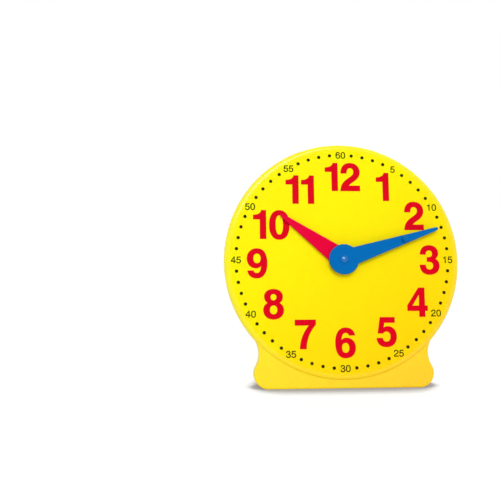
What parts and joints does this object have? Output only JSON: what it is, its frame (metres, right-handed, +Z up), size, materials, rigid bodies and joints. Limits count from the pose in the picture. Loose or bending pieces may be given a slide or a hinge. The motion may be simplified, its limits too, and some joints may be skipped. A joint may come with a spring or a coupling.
{
  "type": "geared teaching clock",
  "caption": "Leaning teaching clock: round dial on a spread foot, hour and minute hands coupled by a hidden gear train, and a fold-out strut behind.",
  "frame": {"origin": "middle of the case's flat underside, on the table", "axes": "+Z up, +X to the right of somebody reading the dial, +Y away from the reader; the dial leans back 12 degrees"},
  "size_m": [0.333, 0.0915, 0.336],
  "materials": {
    "case_yellow": "moulded, satin gloss",
    "hand_red": "moulded, gloss",
    "hand_blue": "moulded, gloss",
    "white_acetal": "moulded, matt",
    "grey_plastic": "moulded, matt",
    "friction_rubber": "plain",
    "zinc_steel": "zinc plated",
    "bright_steel": "turned and polished"
  },
  "bodies": {
    "case": {"front_case": "case_yellow", "rear_cover": "case_yellow", "cover_screws": "zinc_steel", "dial_bush": "white_acetal", "gear_plate": "grey_plastic", "gear_plate_screws": "zinc_steel", "plate_bush": "white_acetal", "idler_post": "bright_steel", "idler_washer": "bright_steel", "friction_washer": "friction_rubber", "stand_hinge_pin": "bright_steel"},
    "minute": {"minute_arbor": "bright_steel", "minute_pinion": "white_acetal", "arbor_clip": "bright_steel", "minute_hand": "hand_blue", "hand_washer": "white_acetal"},
    "hour": {"hour_wheel": "white_acetal", "hour_hand": "hand_red"},
    "idler": {"idler_gear": "white_acetal"},
    "strut": {"stand_leg": "case_yellow"}
  },
  "joints": [
    {"name": "minute_turn", "type": "hinge", "parent": "case", "child": "minute", "pos_m": [0, 0.023, 0.17435], "axis": [0, 0.9781, -0.2079], "continuous": true},
    {"name": "hour_turn", "type": "hinge", "parent": "case", "child": "hour", "pos_m": [0, 0.023, 0.17435], "axis": [0, 0.9781, -0.2079], "continuous": true},
    {"name": "idler_turn", "type": "hinge", "parent": "case", "child": "idler", "pos_m": [0, 0.0308, 0.21103], "axis": [0, 0.9781, -0.2079], "continuous": true},
    {"name": "strut_fold", "type": "hinge", "parent": "case", "child": "strut", "pos_m": [0, 0.04403, 0.12899], "axis": [1, 0, 0], "range_deg": [-25, 0]}
  ],
  "couplings": [
    {"joint": "idler_turn", "follows": "minute_turn", "ratio": -0.33333},
    {"joint": "hour_turn", "follows": "minute_turn", "ratio": 0.083333}
  ]
}
